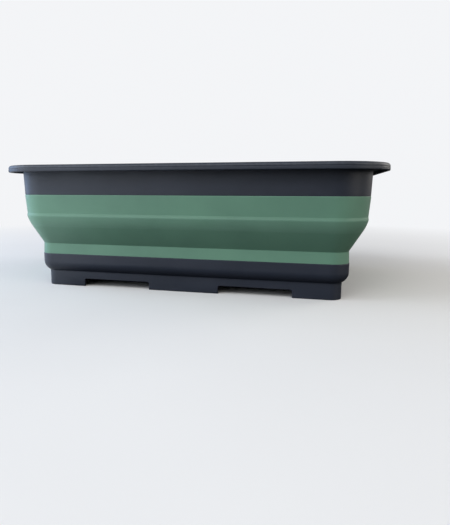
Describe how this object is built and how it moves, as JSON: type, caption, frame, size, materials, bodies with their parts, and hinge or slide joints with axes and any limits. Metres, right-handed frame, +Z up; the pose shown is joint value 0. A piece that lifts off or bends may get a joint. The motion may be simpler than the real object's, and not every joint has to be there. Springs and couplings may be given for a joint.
{
  "type": "collapsible tub",
  "caption": "Rectangular tub with a stiff flanged rim and base joined by a soft wall that folds flat, with a notched foot skirt and a drain plug.",
  "frame": {"origin": "on the floor, under the middle of the tub", "axes": "+X along the long side, +Y across it, +Z up"},
  "size_m": [0.38, 0.285, 0.125],
  "materials": {
    "slate_plastic": "fine satin moulding texture",
    "green_elastomer": "satin, slightly soft to the touch",
    "seal_rubber": "matt"
  },
  "bodies": {
    "base": {"base_tray": "slate_plastic", "lower_wall": "green_elastomer"},
    "rim": {"rim_frame": "slate_plastic", "upper_wall": "green_elastomer"},
    "fold": {"fold_wall": "green_elastomer"},
    "plug": {"drain_plug": "slate_plastic", "plug_seal": "seal_rubber"},
    "pull": {"plug_pull_ring": "slate_plastic"}
  },
  "joints": [
    {"name": "collapse", "type": "slide", "parent": "base", "child": "rim", "axis": [0, 0, -1], "range_m": [0, 0.061]},
    {"name": "fold_follow", "type": "slide", "parent": "base", "child": "fold", "axis": [0, 0, -1], "range_m": [0, 0.0305]},
    {"name": "plug_lift", "type": "slide", "parent": "base", "child": "plug", "axis": [0, 0, 1], "range_m": [0, 0.12]},
    {"name": "pull_ring_flip", "type": "hinge", "parent": "plug", "child": "pull", "pos_m": [0.093, 0, 0.0163], "axis": [0, -1, 0], "range_deg": [0, 90]}
  ],
  "couplings": [
    {"joint": "fold_follow", "follows": "collapse", "ratio": 0.5}
  ]
}
